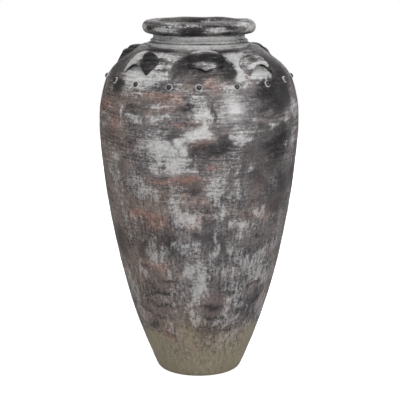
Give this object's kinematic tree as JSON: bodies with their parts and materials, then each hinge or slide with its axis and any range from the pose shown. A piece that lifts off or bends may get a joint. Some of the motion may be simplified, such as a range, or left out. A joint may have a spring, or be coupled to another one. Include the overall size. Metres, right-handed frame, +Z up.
{
  "type": "greek pithos",
  "caption": "Tall ovoid storage jar of fired clay with a narrow foot, short neck, rolled rim, strap loops and clay pellets round the shoulder.",
  "frame": {"origin": "centre of the foot, on the ground", "axes": "+Z up along the jar's axis; the front, with the front loop 6 degrees towards +X, faces -Y"},
  "size_m": [0.5579, 0.558, 1],
  "materials": {
    "washed_clay": "matt fired clay under a black and pale grey dry-brushed wash",
    "pale_clay": "matt fired clay, pale grey wash worn over black",
    "dark_clay": "matt fired clay, black wash rubbed pale on the edges"
  },
  "bodies": {
    "root": {"floor_slab": "washed_clay", "lower_wall": "washed_clay", "belly_wall": "washed_clay", "shoulder_wall": "washed_clay", "collar_ring": "washed_clay", "neck": "pale_clay", "rolled_rim": "pale_clay", "lug_front": "dark_clay", "lug_front_right": "dark_clay", "lug_back_right": "dark_clay", "lug_back": "dark_clay", "lug_back_left": "dark_clay", "lug_front_left": "dark_clay", "pellets": "dark_clay"}
  },
  "joints": []
}
